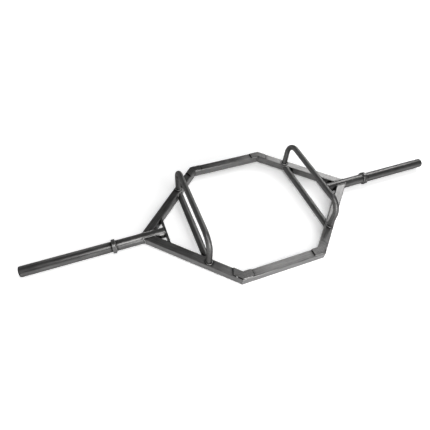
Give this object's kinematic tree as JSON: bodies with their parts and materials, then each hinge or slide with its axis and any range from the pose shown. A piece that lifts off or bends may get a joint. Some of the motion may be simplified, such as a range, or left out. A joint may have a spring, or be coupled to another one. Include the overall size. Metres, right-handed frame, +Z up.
{
  "type": "hex trap bar",
  "caption": "Six-sided welded lifting bar with low and raised grips and a round weight plate sleeve on each side, for trap bar deadlifts and carries.",
  "frame": {"origin": "below the middle of the bar, on the floor plane that the two stop rings stand on", "axes": "+X along the sleeves to the right one, +Y to the rear rail, +Z up towards the raised grips"},
  "size_m": [2.194, 0.74, 0.2165],
  "materials": {
    "frame_paint": "satin gunmetal",
    "sleeve_paint": "satin gunmetal",
    "grip_paint": "satin gunmetal",
    "weld_paint": "satin gunmetal",
    "plug_plastic": "moulded black"
  },
  "bodies": {
    "root": {"front_rail": "frame_paint", "rear_rail": "frame_paint", "front_left_rail": "frame_paint", "front_right_rail": "frame_paint", "rear_left_rail": "frame_paint", "rear_right_rail": "frame_paint", "front_left_corner_plate": "frame_paint", "front_right_corner_plate": "frame_paint", "rear_left_corner_plate": "frame_paint", "rear_right_corner_plate": "frame_paint", "left_cross_plate": "frame_paint", "right_cross_plate": "frame_paint", "left_sleeve_tube": "sleeve_paint", "right_sleeve_tube": "sleeve_paint", "left_collar": "sleeve_paint", "right_collar": "sleeve_paint", "left_low_handle": "grip_paint", "right_low_handle": "grip_paint", "left_raised_handle": "grip_paint", "right_raised_handle": "grip_paint", "raised_handle_welds": "weld_paint", "low_handle_welds": "weld_paint", "collar_welds": "weld_paint", "left_end_plug": "plug_plastic", "right_end_plug": "plug_plastic"}
  },
  "joints": []
}
